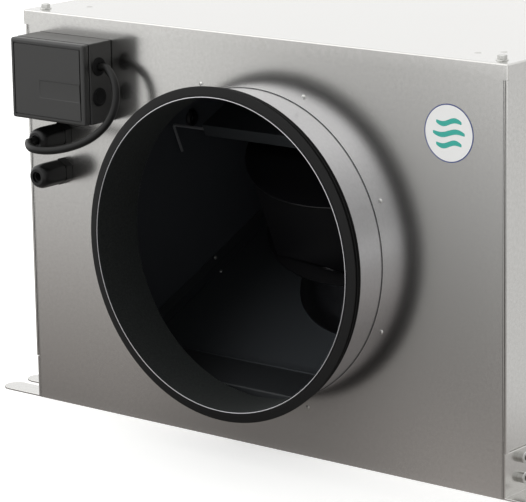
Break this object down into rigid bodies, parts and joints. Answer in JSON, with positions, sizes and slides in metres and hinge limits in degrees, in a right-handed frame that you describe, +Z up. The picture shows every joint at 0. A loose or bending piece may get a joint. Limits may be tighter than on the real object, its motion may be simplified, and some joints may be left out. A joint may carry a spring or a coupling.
{
  "type": "inline duct fan",
  "caption": "Box-shaped insulated inline fan with round sealed spigots, a backward curved impeller on a sloping bulkhead, terminal box and mounting feet.",
  "frame": {"origin": "middle of the underside of the box, on the level of its feet", "axes": "+Z up, -Y out of the outlet spigot at the end with the cable entries, +X to the right seen from that end"},
  "size_m": [0.7146, 0.9247, 0.416],
  "materials": {
    "galvanised_casing": "satin galvanised sheet",
    "galvanised_duct": "satin galvanised sheet",
    "rubber_seal": "matt black rubber",
    "faced_wool": "dark glass tissue facing",
    "dark_sheet": "grey coated sheet",
    "motor_casting": "grey coated casting",
    "impeller_plastic": "black moulded plastic",
    "box_plastic": "fine textured dark grey moulding",
    "grommet_rubber": "matt black rubber",
    "cable_jacket": "satin black jacket",
    "gland_plastic": "black nylon",
    "bracket_steel": "galvanised sheet",
    "wire_steel": "bright wire"
  },
  "bodies": {
    "casing": {"blind_grommet": "grommet_rubber", "bracket_left_leg": "dark_sheet", "bracket_right_leg": "dark_sheet", "bulkhead": "dark_sheet", "bulkhead_left_edge": "dark_sheet", "bulkhead_right_edge": "dark_sheet", "cable_grommet": "grommet_rubber", "cable_hook": "wire_steel", "control_cable": "cable_jacket", "floor_lining": "faced_wool", "floor_panel": "galvanised_casing", "front_left_bracket": "bracket_steel", "front_panel": "galvanised_casing", "front_right_bracket": "bracket_steel", "front_seal": "rubber_seal", "front_spigot": "galvanised_duct", "front_spigot_flange": "galvanised_duct", "inlet_cone": "galvanised_duct", "left_lining": "faced_wool", "left_panel": "galvanised_casing", "lid": "galvanised_casing", "lid_lining": "faced_wool", "lower_gland_base": "gland_plastic", "lower_gland_nut": "gland_plastic", "motor_bracket": "dark_sheet", "motor_stator": "motor_casting", "rear_left_bracket": "bracket_steel", "rear_panel": "galvanised_casing", "rear_right_bracket": "bracket_steel", "rear_seal": "rubber_seal", "rear_spigot": "galvanised_duct", "rear_spigot_flange": "galvanised_duct", "right_lining": "faced_wool", "right_panel": "galvanised_casing", "terminal_box_base": "box_plastic", "terminal_box_cover": "box_plastic", "upper_gland_base": "gland_plastic", "upper_gland_nut": "gland_plastic", "wall_grommet": "grommet_rubber"},
    "impeller": {"motor_rotor": "motor_casting", "impeller_back_plate": "impeller_plastic", "impeller_shroud": "impeller_plastic", "impeller_blade_1": "impeller_plastic", "impeller_blade_2": "impeller_plastic", "impeller_blade_3": "impeller_plastic", "impeller_blade_4": "impeller_plastic", "impeller_blade_5": "impeller_plastic", "impeller_blade_6": "impeller_plastic", "impeller_blade_7": "impeller_plastic"}
  },
  "joints": [
    {"name": "impeller_spin", "type": "hinge", "parent": "casing", "child": "impeller", "pos_m": [0, -0.10799, 0.12777], "axis": [0, -0.4028, 0.9153], "continuous": true}
  ]
}
